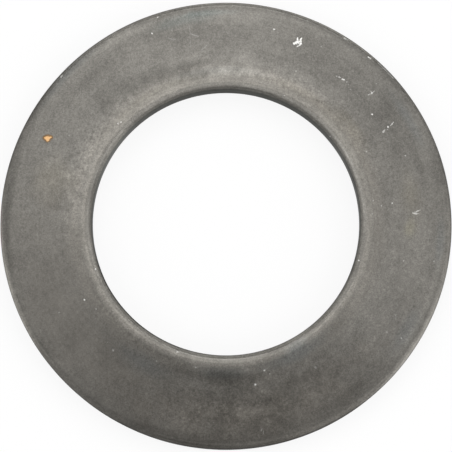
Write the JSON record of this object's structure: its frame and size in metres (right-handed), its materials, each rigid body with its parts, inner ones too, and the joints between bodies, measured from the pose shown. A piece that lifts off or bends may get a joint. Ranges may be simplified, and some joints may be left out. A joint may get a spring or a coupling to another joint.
{
  "type": "belleville washer",
  "caption": "Shallow cone of spring steel with a wide plain bore, a softly rolled edge round the bore and rim, and a dark phosphate finish.",
  "frame": {"origin": "centre of the bore, on the plane that the rim's lower edge rests on", "axes": "+Z along the axis of the bore, towards the raised edge of the bore"},
  "size_m": [0.07, 0.07, 0.0053],
  "materials": {
    "phosphated_steel": "dark phosphate over spring steel, semi-matt, mottled and lightly worn"
  },
  "bodies": {
    "root": {"washer": "phosphated_steel"}
  },
  "joints": []
}
